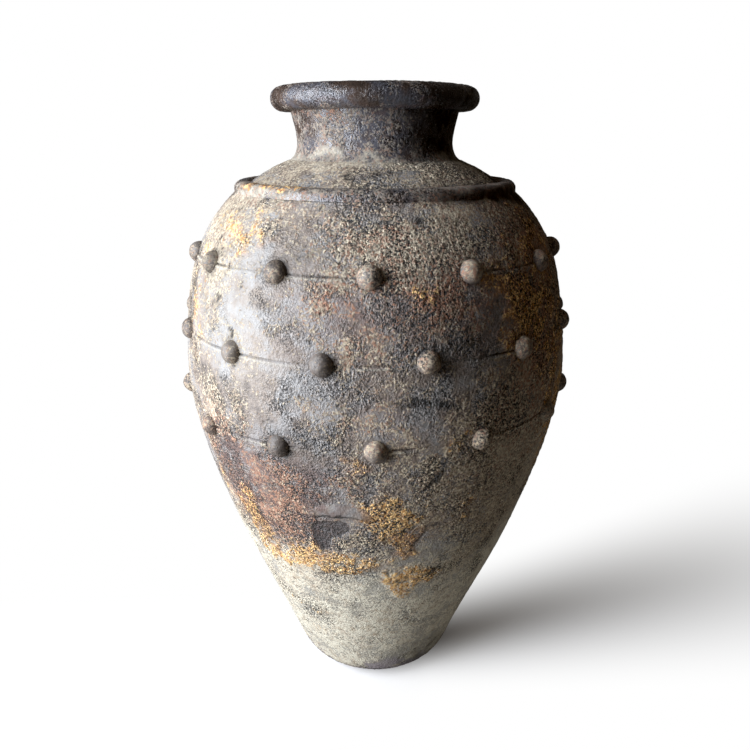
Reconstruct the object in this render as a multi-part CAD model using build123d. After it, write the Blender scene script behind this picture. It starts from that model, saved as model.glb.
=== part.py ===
"""Studded clay storage jar of the pithos kind, built up in stages as a potter builds one.

Millimetres. The origin is the centre of the face that the jar stands on, and +Z is the jar's axis.
The jar is drawn as a half section, radius along X and height along Y, which is then stood up in the
XZ plane and turned about Z. The wall is one band of clay between an outer and an inner curve, cut
into stages by joints that slope, except the foot's, which is level. So each stage seats on the one
below over the whole joint face.
"""
import os
from math import cos, radians, sin

from build123d import *

# Foot: a clay disc whose edge rolls up into the first coil of the wall
foot_flat_radius = 74.3
foot_edge_radius = 46.6
foot_lean = 71.7  # degrees above the ground where the roll runs into the wall
foot_wall_height = 76.0
floor_thickness = 24.0

# Wall: radius of the belly, how far the outer face is drawn in from it below and above, and rises
belly_radius = 245.5
lower_inset = 67.5
lower_rise = 158.0
middle_inset = 19.5
middle_rise = 153.0
belly_rise = 127.0
upper_belly_inset = 9.0
upper_belly_rise = 88.0
shoulder_inset = 32.5
shoulder_rise = 75.0
ridge_inset = 73.3
ridge_rise = 51.0
shoulder_lean = 40.6  # degrees that the wall leans in above the ground under the ridge
wall_thickness = 15.0
joint_slope = 30.0  # degrees that a joint between stages rises towards the inside

# Shoulder ridge: a band laid over the joint of wall and cap
ridge_width = 20.2
ridge_seat_rise = 10.5
ridge_face_height = 4.2
ridge_edge_radius = 8.8
ridge_back_run = 4.5

# Shoulder cap: the low dome between ridge and neck
cap_rise = 25.0
cap_swell = 1.8
cap_thickness = 15.5

# Neck
neck_base_radius = 103.5
neck_flare_inset = 6.8
neck_flare_rise = 8.0
neck_waist_radius = 94.3
neck_waist_rise = 22.5
neck_top_radius = 100.3
neck_height = 54.5
neck_thickness = 13.0

# Rim: a coil rolled outwards over the neck's top edge
rim_overhang = 10.5
rim_roll_radius = 13.0
rim_mouth_round = 9.0

# Studs: clay balls pressed on in three rows, each row placed below the ridge's lower edge
stud_count = 14
stud_ball_radius = 13.5
stud_height = 10.0
upper_row_drop = 63.5
middle_row_drop = 146.1
lower_row_drop = 237.2

# Studs that stray from their even row: degrees turned towards the next number, and millimetres raised
stud_strays = {
    "upper_stud_12": (4.0, -3.0),
    "upper_stud_13": (-2.6, -3.5),
    "upper_stud_14": (-1.3, -1.3),
    "upper_stud_01": (-1.3, -1.9),
    "upper_stud_02": (0.3, -0.7),
    "upper_stud_03": (3.5, -2.8),
    "middle_stud_12": (-0.8, -4.3),
    "middle_stud_13": (-0.7, -5.8),
    "middle_stud_14": (0.0, -3.9),
    "middle_stud_01": (0.1, -1.3),
    "middle_stud_02": (2.1, -2.1),
    "middle_stud_03": (4.4, 2.4),
    "lower_stud_13": (-0.3, -15.7),
    "lower_stud_14": (0.9, -7.4),
    "lower_stud_01": (0.2, -3.5),
    "lower_stud_02": (2.0, -0.9),
    "lower_stud_03": (3.7, -2.4),
}

# The outer curve of the wall, from the flat of the foot to the ridge
foot_roll = JernArc((foot_flat_radius, 0), (1, 0), foot_edge_radius, foot_lean)
foot_top = foot_roll @ 1
lower_joint_height = foot_top.Y + lower_rise
middle_joint_height = lower_joint_height + middle_rise
belly_height = middle_joint_height + belly_rise
upper_belly_height = belly_height + upper_belly_rise
shoulder_height = upper_belly_height + shoulder_rise
ridge_height = shoulder_height + ridge_rise
ridge_radius = belly_radius - ridge_inset

stations = [
    foot_top,
    Vector(belly_radius - lower_inset, lower_joint_height),
    Vector(belly_radius - middle_inset, middle_joint_height),
    Vector(belly_radius, belly_height),
    Vector(belly_radius - upper_belly_inset, upper_belly_height),
    Vector(belly_radius - shoulder_inset, shoulder_height),
    Vector(ridge_radius, ridge_height),
]
start_direction = Vector(cos(radians(foot_lean)), sin(radians(foot_lean)))
end_direction = Vector(-cos(radians(shoulder_lean)), sin(radians(shoulder_lean)))
outer_wall = Spline(*stations, tangents=[start_direction, end_direction])


def outward(direction):
    """Unit vector square to a direction that runs up the wall, pointing away from the axis."""
    return Vector(direction.Y, -direction.X).normalized()


def wall_direction(point):
    """Direction up the wall's outer face at one of its points."""
    return outer_wall.tangent_at(outer_wall.param_at_point(point))


def wall_point(height):
    """Point of the wall's outer face at one height."""
    level = Line((0, height), (2 * belly_radius, height))
    return outer_wall.find_intersection_points(level)[0]


# The inner curve of the wall, one wall thickness inside the outer one
inner_stations = [point - outward(wall_direction(point)) * wall_thickness for point in stations]
inner_wall = Spline(*inner_stations, tangents=[start_direction, end_direction])
inner_foot = inner_stations[0]
inner_ridge = inner_stations[-1]
floor_edge_radius = (inner_foot.Y - floor_thickness) / (1 - cos(radians(foot_lean)))
floor_flat_radius = inner_foot.X - floor_edge_radius * sin(radians(foot_lean))
floor_roll = JernArc((floor_flat_radius, floor_thickness), (1, 0), floor_edge_radius, foot_lean)

# Heights and row places that follow from the sizes above
ridge_back = Vector(ridge_radius - ridge_width, ridge_height + ridge_seat_rise)
neck_base_height = ridge_back.Y + cap_rise
neck_top_height = neck_base_height + neck_height
rim_top_height = neck_top_height + 2 * rim_roll_radius
upper_row_height = ridge_height - upper_row_drop
middle_row_height = ridge_height - middle_row_drop
lower_row_height = ridge_height - lower_row_drop
belly_joint_height = (middle_row_height + lower_row_height) / 2


def turned(section):
    """Solid of a half section turned about the jar's axis."""
    return revolve(Plane.XZ * section, Axis.Z)


def closed_section(*curves):
    """Face inside a closed run of curves in the half section."""
    return make_face(Curve() + list(curves))


def joint_plane(height):
    """Sloping plane of the joint that leaves the wall's outer face at one height."""
    slope = radians(joint_slope)
    return Plane(origin=wall_point(height), z_dir=(sin(slope), cos(slope), 0))


def wall_section():
    """Half section of the foot and the whole wall, as one band of clay."""
    return closed_section(
        Line((0, 0), (foot_flat_radius, 0)),
        foot_roll,
        outer_wall,
        Line(stations[-1], inner_ridge),
        inner_wall,
        floor_roll,
        Line((floor_flat_radius, floor_thickness), (0, floor_thickness)),
        Line((0, floor_thickness), (0, 0)),
    )


def wall_stages():
    """Foot and wall stages by name, cut from the one band at a level joint and the sloping ones."""
    joints = {
        "foot": Plane(origin=floor_roll @ 0.5, z_dir=(0, 1, 0)),
        "foot_wall": joint_plane(foot_wall_height),
        "lower_wall": joint_plane(lower_joint_height),
        "middle_wall": joint_plane(middle_joint_height),
        "belly_wall": joint_plane(belly_joint_height),
    }
    stages = {}
    rest = wall_section()
    for name, cut in joints.items():
        stages[name] = turned(split(rest, cut, Keep.BOTTOM))
        rest = split(rest, cut, Keep.TOP)
    stages["shoulder_wall"] = turned(rest)
    return stages


def shoulder_cap():
    """Dome that closes the shoulder in to the neck, with the seats of wall, ridge and neck."""
    neck_seat = Vector(neck_base_radius, neck_base_height)
    neck_hole = Vector(neck_base_radius - neck_thickness, neck_base_height)
    under_hole = neck_hole - Vector(0, cap_thickness)
    middle = (neck_seat + ridge_back) / 2 + outward(neck_seat - ridge_back) * cap_swell
    return turned(
        closed_section(
            Line(stations[-1], inner_ridge),
            Line(inner_ridge, under_hole),
            Line(under_hole, neck_hole),
            Line(neck_hole, neck_seat),
            ThreePointArc(neck_seat, middle, ridge_back),
            Line(ridge_back, stations[-1]),
        )
    )


def shoulder_ridge():
    """Band on the cap's outer edge, with an upright face, a rolled edge and a sloping back."""
    face_top = Vector(ridge_radius, ridge_height + ridge_face_height)
    edge_roll = JernArc(face_top, (0, 1), ridge_edge_radius, 90)
    crown = edge_roll @ 1
    crown_back = Vector(ridge_back.X + ridge_back_run, crown.Y)
    return turned(
        closed_section(
            Line(stations[-1], face_top),
            edge_roll,
            Line(crown, crown_back),
            Line(crown_back, ridge_back),
            Line(ridge_back, stations[-1]),
        )
    )


def neck():
    """Waisted neck with a spreading foot and a flat seat at each end."""
    base = Vector(neck_base_radius, neck_base_height)
    flare = base + Vector(-neck_flare_inset, neck_flare_rise)
    waist = Vector(neck_waist_radius, neck_base_height + neck_waist_rise)
    top = Vector(neck_top_radius, neck_top_height)
    inset = Vector(neck_thickness, 0)
    return turned(
        closed_section(
            Spline(base, flare, waist, top),
            Line(top, top - inset),
            Spline(top - inset, waist - inset, flare - inset, base - inset),
            Line(base - inset, base),
        )
    )


def rim():
    """Rolled lip: half-round outside, overhanging the neck, and rounded into the mouth."""
    mouth_radius = neck_top_radius - neck_thickness
    roll_foot = Vector(neck_top_radius + rim_overhang, neck_top_height)
    outer_roll = JernArc(roll_foot, (1, 0), rim_roll_radius, 180)
    mouth_roll_start = Vector(mouth_radius + rim_mouth_round, rim_top_height)
    mouth_roll = JernArc(mouth_roll_start, (-1, 0), rim_mouth_round, 90)
    mouth_foot = Vector(mouth_radius, neck_top_height)
    return turned(
        closed_section(
            Line(mouth_foot, roll_foot),
            outer_roll,
            Line(outer_roll @ 1, mouth_roll_start),
            mouth_roll,
            Line(mouth_roll @ 1, mouth_foot),
        )
    )


def jar_core():
    """Everything inside the wall's outer face, used to shape the back of a stud."""
    return turned(
        closed_section(
            Line((0, 0), (foot_flat_radius, 0)),
            foot_roll,
            outer_wall,
            Line(stations[-1], (0, ridge_height)),
            Line((0, ridge_height), (0, 0)),
        )
    )


def stud(row_height, core):
    """Clay ball pressed on the wall at one height, in the +X half of the XZ plane."""
    seat = wall_point(row_height)
    centre = seat - outward(wall_direction(seat)) * (stud_ball_radius - stud_height)
    return Pos(centre.X, 0, centre.Y) * Sphere(stud_ball_radius) - core


def stud_rows():
    """All studs by name. Even rows put 01 of the upper and lower ones at -Y and stagger the middle one."""
    core = jar_core()
    step = 360 / stud_count
    rows = {
        "upper_stud": (upper_row_height, 0),
        "middle_stud": (middle_row_height, step / 2),
        "lower_stud": (lower_row_height, 0),
    }
    studs = {}
    for name, (row_height, stagger) in rows.items():
        for index in range(stud_count):
            node = f"{name}_{index + 1:02d}"
            turn, rise = stud_strays.get(node, (0, 0))
            angle = index * step + stagger + turn - 90
            studs[node] = Rot(0, 0, angle) * stud(row_height + rise, core)
    return studs


os.makedirs("parts", exist_ok=True)
pieces = wall_stages()
pieces["shoulder_cap"] = shoulder_cap()
pieces["shoulder_ridge"] = shoulder_ridge()
pieces["neck"] = neck()
pieces["rim"] = rim()
pieces.update(stud_rows())
for node, piece in pieces.items():
    export_step(piece, f"parts/{node}.step")
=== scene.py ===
"""Dresses the studded clay storage jar: weathered walls, pressed-on studs, ridge, neck and rolled rim.

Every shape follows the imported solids: each turned node gives its own half section, and each stud its
own ball. The script lays fine grids over them, roughens those with smooth random fields, and colours
them with procedural finishes. Lengths are metres unless a name ends in _mm. Angles round the jar are
degrees from the front, which faces -Y, growing towards +X.
"""

import logging
import math
from dataclasses import dataclass
from enum import Enum
from typing import Any

import bpy
import numpy as np
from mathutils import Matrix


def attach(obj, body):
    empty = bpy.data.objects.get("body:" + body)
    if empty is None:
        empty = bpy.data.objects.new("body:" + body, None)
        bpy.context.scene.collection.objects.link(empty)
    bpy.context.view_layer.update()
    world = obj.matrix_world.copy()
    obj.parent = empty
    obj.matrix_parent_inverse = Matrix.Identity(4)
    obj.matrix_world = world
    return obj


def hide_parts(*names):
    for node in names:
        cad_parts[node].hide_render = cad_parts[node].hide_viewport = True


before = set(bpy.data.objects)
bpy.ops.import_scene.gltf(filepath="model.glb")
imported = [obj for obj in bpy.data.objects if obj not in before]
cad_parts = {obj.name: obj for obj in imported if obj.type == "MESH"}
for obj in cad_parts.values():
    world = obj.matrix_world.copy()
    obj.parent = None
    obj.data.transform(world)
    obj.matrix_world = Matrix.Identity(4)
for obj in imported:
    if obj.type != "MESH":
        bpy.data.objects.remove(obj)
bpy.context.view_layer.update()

MM = 0.001
LOG = logging.getLogger("jar")
Array = np.ndarray


class Slot(Enum):
    """Material slots of the record."""

    WALL = "weathered_clay"
    DARK = "dark_slip_clay"
    STUD = "stud_clay"


class Side(Enum):
    """What a stretch of a half section faces."""

    SHOWN = "shown"
    INSIDE = "inside"
    JOINT = "joint"


def linear(colour: str) -> tuple[float, float, float, float]:
    """Turn an sRGB hex colour into linear red, green, blue and alpha.

    Args:
        colour: Six hex digits with a leading hash.

    Returns:
        Four floats for a colour socket.
    """
    channels = [int(colour[i : i + 2], 16) / 255 for i in (1, 3, 5)]
    curve = [c / 12.92 if c <= 0.04045 else ((c + 0.055) / 1.055) ** 2.4 for c in channels]
    return (*curve, 1.0)


def smoothstep(low: float, high: float, value: Array) -> Array:
    """Ease from 0 at low to 1 at high along the curve 3t^2 - 2t^3.

    Args:
        low: Value that gives 0.
        high: Value that gives 1.
        value: Values to ease.

    Returns:
        Eased values.
    """
    t = np.clip((value - low) / (high - low), 0.0, 1.0)
    return t * t * (3.0 - 2.0 * t)


class ClayNoise:
    """Smooth random field in space: random slopes on a cubic lattice, eased between its points.

    Each finer layer is turned and shifted, so that the lattices of two layers never line up.
    """

    PERIOD = 48
    STRENGTH = 1.5
    FINER = 2.03
    START = 11.3
    SHIFT = 5.7
    TURN = np.array([[0.36, 0.48, -0.8], [-0.8, 0.6, 0.0], [0.48, 0.64, 0.6]])

    def __init__(self, seed: int) -> None:
        """Draw the lattice of unit slopes.

        Args:
            seed: Seed of the random draw.
        """
        slopes = np.random.default_rng(seed).normal(size=(self.PERIOD,) * 3 + (3,))
        slopes /= np.linalg.norm(slopes, axis=-1, keepdims=True)
        self.slopes = slopes.astype(np.float32)

    def _layer(self, places: Array) -> Array:
        """Blend the eight corner slopes of each lattice cell with the curve 6t^5 - 15t^4 + 10t^3.

        Args:
            places: Points in lattice steps, one row each.

        Returns:
            One value for each point, about -0.7 to 0.7.
        """
        cell = np.floor(places)
        part = (places - cell).astype(np.float32)
        cell = cell.astype(np.int64) % self.PERIOD
        ease = part**3 * (part * (part * 6 - 15) + 10)
        total = np.zeros(len(places), np.float32)
        for corner in np.ndindex(2, 2, 2):
            at = (cell + corner) % self.PERIOD
            weight = np.where(corner, ease, 1 - ease).prod(axis=1)
            slope = self.slopes[at[:, 0], at[:, 1], at[:, 2]]
            total += weight * (slope * (part - np.array(corner, np.float32))).sum(axis=1)
        return total

    def at(self, points: Array, size_mm: float, octaves: int = 1, fade: float = 0.5) -> Array:
        """Add layers of the field, each half as coarse as the last and fade times as strong.

        Args:
            points: Points in metres, one row each.
            size_mm: Lattice step of the coarsest layer.
            octaves: Number of layers.
            fade: Strength of each layer relative to the one before it.

        Returns:
            One value for each point, about -1 to 1.
        """
        places = points / (size_mm * MM) + self.START
        total = np.zeros(len(points), np.float32)
        strength = self.STRENGTH
        for _ in range(octaves):
            total += strength * self._layer(places)
            places = places @ self.TURN.T * self.FINER + self.SHIFT
            strength *= fade
        return total


@dataclass(frozen=True)
class Patch:
    """A soft-edged place on the jar: where it is, its width and height, strength, tilt and squareness."""

    angle: float
    height_mm: float
    wide_mm: float
    tall_mm: float
    strength: float = 1.0
    tilt: float = 0.0
    power: float = 2.0

    def mask(self, points: Array) -> Array:
        """Bell curve exp(-(|a|^p + |b|^p)) of the distances along and across the patch, in half-sizes.

        Args:
            points: Points in metres, one row each.

        Returns:
            Strength of the patch at each point.
        """
        turn = np.arctan2(points[:, 0], -points[:, 1]) - math.radians(self.angle)
        turn = np.arctan2(np.sin(turn), np.cos(turn))
        along = turn * np.hypot(points[:, 0], points[:, 1]) / MM
        up = points[:, 2] / MM - self.height_mm
        cos, sin = math.cos(math.radians(self.tilt)), math.sin(math.radians(self.tilt))
        across = (up * cos - along * sin) / (0.5 * self.tall_mm)
        along = (along * cos + up * sin) / (0.5 * self.wide_mm)
        return self.strength * np.exp(-(np.abs(along) ** self.power) - np.abs(across) ** self.power)


@dataclass(frozen=True)
class Ring:
    """A soft-edged band round the jar: its height, half its width, and how strong it is."""

    height_mm: float
    half_mm: float
    strength: float

    def mask(self, points: Array) -> Array:
        """Bell curve of the height above or below the band."""
        return self.strength * np.exp(-(((points[:, 2] / MM - self.height_mm) / self.half_mm) ** 2))


def covering(places: tuple["Patch | Ring", ...], points: Array) -> Array:
    """Add up some patches and bands.

    Args:
        places: Patches and bands to add.
        points: Points in metres, one row each.

    Returns:
        Their sum at each point.
    """
    return sum((place.mask(points) for place in places), np.zeros(len(points)))


# Where the jar shows each kind of wear. The front follows the picture; the back carries on in kind.
# Gold crumbs of ochre
OCHRE = (
    Patch(-41, 316, 40, 60, 1.1),
    Patch(-39.5, 290, 36, 50, 1.1),
    Patch(-38, 258, 56, 40, 1.0),
    Patch(-23, 287, 64, 42, 1.1),
    Patch(-20, 268, 64, 32, 1.2),
    Patch(-14, 265, 70, 28, 1.2),
    Patch(-7, 280, 70, 34, 1.1),
    Patch(-4, 416, 40, 34, 0.7),
    Patch(0.5, 346, 54, 56, 1.1),
    Patch(3.5, 366, 60, 40, 1.0),
    Patch(8, 340, 46, 60, 1.0),
    Patch(9, 312, 40, 60, 1.1),
    Patch(11, 248, 60, 38, 1.2),
    Patch(16, 246, 56, 32, 0.9),
    Patch(8, 227, 28, 34, 1.0),
    Patch(-55, 375, 36, 110, 0.8),
    Patch(-44, 346, 34, 50, 0.9),
    Patch(-61, 565, 60, 170, 0.75),
    Patch(-51, 658, 70, 44, 0.5),
    Patch(-38, 654, 70, 36, 0.6),
    Patch(-46, 640, 60, 34, 0.4),
    Patch(10, 601, 54, 36, 0.9),
    Patch(37, 588, 80, 80, 0.85),
    Patch(45, 570, 80, 110, 0.65),
    Patch(25, 353, 54, 56, 0.7),
    Patch(20, 440, 46, 90, 0.55),
    Patch(56, 500, 90, 260, 0.55),
    Patch(68, 450, 90, 300, 0.7),
    Patch(60, 650, 120, 90, 0.4),
    Patch(-40, 157, 18, 12, 0.8),
    Patch(-29, 150, 20, 10, 0.8),
    Patch(-32, 104, 18, 10, 0.8),
    Patch(-45, 698, 150, 10, 1.0),
    Patch(85, 390, 110, 140, 0.9),
    Patch(104, 288, 130, 60, 1.1),
    Patch(128, 600, 120, 80, 0.8),
    Patch(150, 340, 90, 110, 1.1),
    Patch(172, 268, 120, 50, 1.1),
    Patch(-160, 615, 100, 60, 0.8),
    Patch(-140, 330, 110, 110, 1.0),
    Patch(-108, 262, 120, 50, 1.1),
    Patch(-95, 470, 80, 120, 0.8),
)
# Slip that lost its crust
BARE = (
    Patch(-23, 636, 80, 44, 0.9),
    Patch(-29, 572, 150, 120, 1.0),
    Patch(-20, 493, 130, 100, 0.9),
    Patch(-2, 580, 80, 50, 0.6),
    Patch(14, 505, 110, 70, 0.6),
    Patch(-15, 426, 120, 30, 0.9),
    Patch(-10.5, 357, 66, 18, 1.2, 0.0, 3.0),
    Patch(-36, 268, 60, 12, 0.9),
    Patch(25, 520, 120, 120, 0.5),
    Patch(85, 520, 150, 110, 0.9),
    Patch(140, 470, 160, 90, 0.9),
    Patch(-170, 520, 160, 120, 0.9),
    Patch(-120, 560, 150, 100, 0.9),
    Patch(-100, 400, 120, 90, 0.7),
)
# Iron that came through the slip
RUST = (
    Patch(-45, 398, 110, 110, 0.9),
    Patch(-34, 380, 120, 100, 0.9),
    Patch(-25, 360, 110, 80, 0.9),
    Patch(-28, 330, 110, 70, 0.9),
    Patch(-16, 402, 130, 50, 0.7),
    Patch(-4, 652, 130, 50, 0.5),
    Patch(-4, 560, 120, 70, 0.4),
    Patch(0, 480, 120, 60, 0.4),
    Patch(-8, 598, 110, 50, 0.8),
    Patch(18, 592, 120, 70, 0.9),
    Patch(50, 540, 170, 260, 0.8),
    Patch(62, 640, 130, 90, 0.6),
    Patch(110, 420, 170, 160, 0.8),
    Patch(180, 400, 170, 140, 0.8),
    Patch(-125, 420, 160, 140, 0.8),
    Ring(775.0, 3.0, 0.9),
    Ring(686.0, 6.0, 0.35),
)
# Dark strokes of dirt in cracks and chips
DIRT = (
    Patch(15.5, 401, 62, 6, 1.1, 36.0),
    Patch(12, 305, 66, 6, 1.0, 56.0),
    Patch(8, 498, 50, 7, 0.9, 16.0),
    Patch(16, 492, 50, 7, 1.0, -22.0),
    Patch(-10.5, 349, 70, 5, 1.3),
    Patch(-17.6, 304, 12, 12, 0.9),
    Patch(-39, 331, 26, 18, 0.7),
    Patch(-36, 275, 60, 9, 0.7),
    Patch(-17, 257, 20, 16, 0.7),
    Patch(20, 255, 46, 30, 0.5),
    Patch(17, 366, 60, 16, 0.5, 12.0),
    Patch(23, 160, 56, 10, 0.45, 10.0),
    Patch(35, 123, 60, 8, 0.45, 6.0),
    Patch(-8, 146, 36, 7, 0.35),
    Patch(-2, 100, 90, 3, 0.4),
    Patch(13, 673, 16, 10, 0.8),
    Patch(-30, 712, 60, 4, 0.5, 20.0),
    Patch(-8, 706, 70, 4, 0.5, 14.0),
    Patch(14, 709, 60, 8, 0.5, -8.0),
)
# Thicker crust of settled dust; on the shaded right of wall and cap it is painted fill light
DUST_AND_PAINTED_LIGHT = (
    # Painted fill light on the shaded right of the wall
    Patch(60, 480, 140, 460, 0.7),
    Patch(-53, 640, 150, 110, 0.3),
    Patch(8, 645, 130, 70, 0.35),
    Patch(20, 650, 240, 50, 0.25),
    Patch(-20, 655, 180, 30, 0.2),
    # Painted fill light on the shaded right of the cap
    Patch(58, 708, 130, 40, 0.5),
    Patch(36, 400, 120, 160, 0.45),
    Ring(724.0, 8.0, 0.3),
    Ring(799.0, 3.0, 0.35),
    Ring(698.0, 3.5, 0.3),
    Ring(90.0, 5.0, 0.3),
)
# Lime that turned the crust pale, and painted light: painted sheen on the lit left, painted fill on the
# shaded right
CHALK_AND_PAINTED_LIGHT = (
    Ring(722.0, 5.0, 0.3),
    # Painted sheen on the lit left of the belly
    Patch(-38, 560, 120, 170, 0.2),
    Patch(-53, 640, 130, 110, 0.12),
    # Painted sheen on the lit left of the ridge
    Patch(-52, 689, 120, 12, 0.45, 0.0, 4.0),
    # Painted fill light on the shaded right
    Patch(62, 395, 110, 240, 0.45),
    Patch(-46, 205, 110, 170, -0.5),
    # Painted fill light on the shaded right
    Patch(42, 430, 100, 220, 0.25),
    Patch(5, 640, 160, 80, 0.3),
)
# Crust worn smooth, without pits
SMOOTH = (
    Patch(-52, 640, 140, 130, 0.8),
    Patch(-50, 708, 130, 40, 0.4),
    Patch(-60, 540, 60, 200, 0.25),
)
# Smoke of the kiln, soaked in; much of it is painted shade, on the shaded right and toning down the lit
# left
FIRE_CLOUD_AND_PAINTED_SHADE = (
    Patch(-19, 638, 90, 44, 0.35),
    Patch(23, 555, 110, 100, 0.5),
    Patch(-13, 510, 90, 330, 0.3),
    Patch(-54, 605, 130, 300, 0.4),
    Patch(-32, 600, 110, 190, 0.14),
    Patch(-30, 450, 110, 110, 0.15),
    Patch(-34, 380, 120, 140, 0.12),
    Patch(-20, 440, 110, 40, 0.2),
    # Painted shade on the shaded right ends of neck, rim and ridge
    Patch(50, 752, 110, 54, 1.1, 0.0, 4.0),
    Patch(54, 788, 130, 30, 0.8, 0.0, 4.0),
    Patch(56, 687, 200, 20, 1.0, 0.0, 4.0),
    # Painted shade at the right of the foot, beside the floor's shadow
    Patch(36, 36, 90, 90, 0.8),
    Patch(-34, 40, 80, 90, 0.2),
    Patch(4, 788, 100, 40, 0.5),
    Patch(-150, 750, 160, 120, 0.7),
    Patch(160, 90, 160, 120, 0.4),
)
# Flake knocked off low on the front, and the raised lip over it
SCAR = (
    Patch(-16.3, 318, 22, 42, 1.0, 0.0, 4.0),
    Patch(-12.6, 330, 42, 24, 1.0, 14.0, 4.0),
)
SCAR_LIP = Patch(-10.5, 357, 66, 15, 1.0, 0.0, 3.0)


@dataclass(frozen=True)
class Relief:
    """Depths of the weathered surface."""

    sway_mm: float = 1.1
    flake_mm: float = 0.5
    grain_mm: float = 0.6
    ochre_mm: float = 0.9
    crack_mm: float = 0.55
    scar_mm: float = 1.3
    lip_mm: float = 1.5
    line_depth_mm: float = 1.5
    line_lip_mm: float = 0.5
    line_half_width_mm: float = 1.7
    stud_seam_mm: float = 0.3
    seam_radius_mm: float = 13.5
    seam_half_width_mm: float = 3.5


@dataclass(frozen=True)
class Pattern:
    """Sizes of the random fields, each the lattice step of its coarsest layer, and heights of the bands."""

    bend_mm: float = 38.0
    bend_by_mm: float = 14.0
    sway_mm: float = 170.0
    layer_mm: float = 60.0
    flake_mm: float = 17.0
    grain_mm: float = 5.5
    crack_mm: float = 46.0
    ochre_mm: float = 18.0
    pale_mm: float = 110.0
    crumb_mm: float = 52.0
    wander_mm: float = 90.0
    wander_by_mm: float = 1.3
    skip_mm: float = 60.0
    pale_top_mm: float = 330.0
    pale_full_mm: float = 225.0
    foot_top_mm: float = 46.0
    foot_full_mm: float = 22.0


@dataclass(frozen=True)
class StudRow:
    """Where the studs of one row sit: angles round the jar in radians, and heights on the wall."""

    angles: Array
    heights: Array
    margin_mm: float = 3.0

    def level(self, points: Array) -> Array:
        """Height of the row's scribed line at the angle of each point, from stud to stud."""
        turn = np.arctan2(points[:, 0], -points[:, 1])
        return np.interp(turn, self.angles, self.heights, period=2 * np.pi)

    def band(self) -> tuple[float, float]:
        """Lowest and highest place of the scribed line, with a margin."""
        margin = self.margin_mm * MM
        return self.heights.min() - margin, self.heights.max() + margin


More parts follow.
